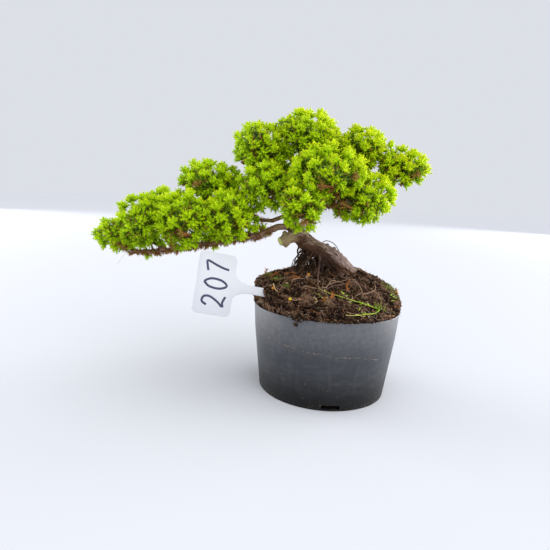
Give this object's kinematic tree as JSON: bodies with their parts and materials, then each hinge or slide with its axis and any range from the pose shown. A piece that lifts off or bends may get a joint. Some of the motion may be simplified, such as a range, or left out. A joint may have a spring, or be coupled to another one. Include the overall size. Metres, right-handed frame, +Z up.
{
  "type": "japanese garden juniper bonsai",
  "caption": "Young garden juniper trained as a leaning bonsai with a long low branch, in a cut-down nursery pot with a plant label.",
  "frame": {"origin": "centre of the pot's flat underside", "axes": "+Z up along the pot's axis, -X towards the tip of the long low branch, -Y the front of the tree"},
  "size_m": [0.318, 0.1505, 0.2717],
  "materials": {
    "plastic": "satin",
    "earth": "matte",
    "bark": "matte",
    "needles": "satin",
    "white_plastic": "satin",
    "weed_green": "matte"
  },
  "bodies": {
    "root": {"pot": "plastic", "soil": "earth", "wood": "bark", "label": "white_plastic", "weed": "weed_green", "spray_crown_back_1": "needles", "spray_crown_back_2": "needles", "spray_crown_back_3": "needles", "spray_crown_back_left_1": "needles", "spray_crown_back_left_2": "needles", "spray_crown_drop_1": "needles", "spray_crown_drop_2": "needles", "spray_crown_front_1": "needles", "spray_crown_front_2": "needles", "spray_crown_front_3": "needles", "spray_crown_left_1": "needles", "spray_crown_left_2": "needles", "spray_crown_left_3": "needles", "spray_crown_low_left_1": "needles", "spray_crown_low_left_2": "needles", "spray_crown_low_right_1": "needles", "spray_crown_low_right_2": "needles", "spray_crown_low_right_3": "needles", "spray_crown_right_end_1": "needles", "spray_crown_right_end_2": "needles", "spray_crown_right_end_3": "needles", "spray_crown_right_top_1": "needles", "spray_crown_right_top_2": "needles", "spray_crown_right_top_3": "needles", "spray_crown_top_1": "needles", "spray_crown_top_2": "needles", "spray_crown_top_3": "needles", "spray_low_back_left_1": "needles", "spray_low_back_left_2": "needles", "spray_low_back_right_1": "needles", "spray_low_back_right_2": "needles", "spray_low_front_left_1": "needles", "spray_low_front_left_2": "needles", "spray_low_front_middle_1": "needles", "spray_low_front_middle_2": "needles", "spray_low_front_right_1": "needles", "spray_low_front_right_2": "needles", "spray_low_mound_1": "needles", "spray_low_mound_2": "needles", "spray_low_mound_3": "needles", "spray_low_tip_1": "needles", "spray_low_tip_2": "needles"}
  },
  "joints": []
}
